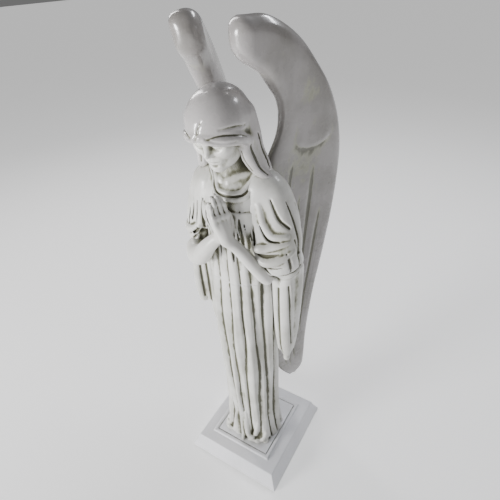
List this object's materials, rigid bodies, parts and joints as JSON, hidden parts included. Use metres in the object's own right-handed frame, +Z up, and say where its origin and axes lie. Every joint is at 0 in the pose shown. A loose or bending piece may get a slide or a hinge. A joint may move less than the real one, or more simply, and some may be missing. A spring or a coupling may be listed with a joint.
{
  "type": "angel figurine",
  "caption": "Robed, winged angel figurine with joined hands and bowed head, standing on a stepped square plinth with a raised bead.",
  "frame": {"origin": "centre of the plinth's resting face, on the ground", "axes": "+Z up through the figure; the figure faces -Y; +X is the figure's own left"},
  "size_m": [0.2039, 0.2378, 0.7723],
  "materials": {
    "antiqued_resin": "painted off-white, grey-green wash in the folds, satin to gloss",
    "fibreboard": "raw",
    "felt": "napped",
    "plug_rubber": "matte",
    "plaster": "unglazed",
    "steel": "zinc plated",
    "dowel_wood": "raw"
  },
  "bodies": {
    "root": {"plinth": "antiqued_resin", "base_board": "fibreboard", "felt_sheet": "felt", "vent_plug": "plug_rubber", "foot_plate": "antiqued_resin", "ballast_core": "plaster", "center_rod": "steel", "rod_washer": "steel", "rod_nut": "steel", "robe": "antiqued_resin", "torso": "antiqued_resin", "left_sleeve": "antiqued_resin", "right_sleeve": "antiqued_resin", "left_hand": "antiqued_resin", "right_hand": "antiqued_resin", "neck_dowel": "dowel_wood", "head": "antiqued_resin", "hair": "antiqued_resin", "left_wing": "antiqued_resin", "right_wing": "antiqued_resin", "wing_pins": "steel"}
  },
  "joints": []
}
